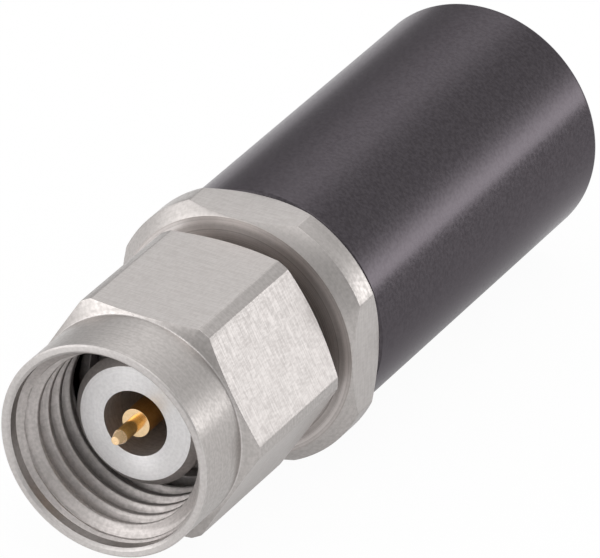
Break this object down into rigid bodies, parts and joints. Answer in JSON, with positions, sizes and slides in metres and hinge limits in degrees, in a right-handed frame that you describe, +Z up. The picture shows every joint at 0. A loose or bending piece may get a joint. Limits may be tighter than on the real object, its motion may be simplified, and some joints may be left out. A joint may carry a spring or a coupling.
{
  "type": "coaxial mismatch termination",
  "caption": "Coaxial mismatch termination with a male threaded coupling nut, a flange with wrench flats and a round closed housing, for setting a known reflection on a line.",
  "frame": {"origin": "on the axis, at the mating plane of the outer conductor", "axes": "the mating end faces -Y and the closed end +Y; +Z is up, square to one wrench flat of the flange, with the part lying on its housing"},
  "size_m": [0.0092, 0.0279, 0.0092],
  "materials": {
    "stainless_steel": "turned and milled, passivated, satin",
    "gold_plating": "gold plated, bright",
    "black_anodised": "black anodised, satin",
    "bronze": "plain turned",
    "plated_brass": "nickel plated, satin",
    "insulator": "matt",
    "ceramic": "ground, with a thin dark resistive film",
    "spring_steel": "rolled and hardened"
  },
  "bodies": {
    "termination": {"connector_body": "stainless_steel", "outer_conductor": "stainless_steel", "centre_pin": "gold_plating", "support_bead": "insulator", "rear_conductor": "gold_plating", "load_sleeve": "plated_brass", "resistor_rod": "ceramic", "resistor_front_cap": "plated_brass", "resistor_rear_cap": "plated_brass", "grounding_disc": "plated_brass", "disc_spring_1": "spring_steel", "disc_spring_2": "spring_steel", "disc_spring_3": "spring_steel", "disc_spring_4": "spring_steel", "thrust_washer": "spring_steel", "adjusting_screw": "plated_brass", "lock_ring": "plated_brass", "housing": "black_anodised"},
    "retaining_ring": {"nut_retaining_ring": "bronze"},
    "nut": {"coupling_nut": "stainless_steel"}
  },
  "joints": [
    {"name": "nut_float", "type": "slide", "parent": "termination", "child": "retaining_ring", "axis": [0, 1, 0], "range_m": [-0.00015, 0.00015]},
    {"name": "nut_spin", "type": "hinge", "parent": "retaining_ring", "child": "nut", "pos_m": [0, 0.003, 0], "axis": [0, 1, 0], "continuous": true}
  ]
}
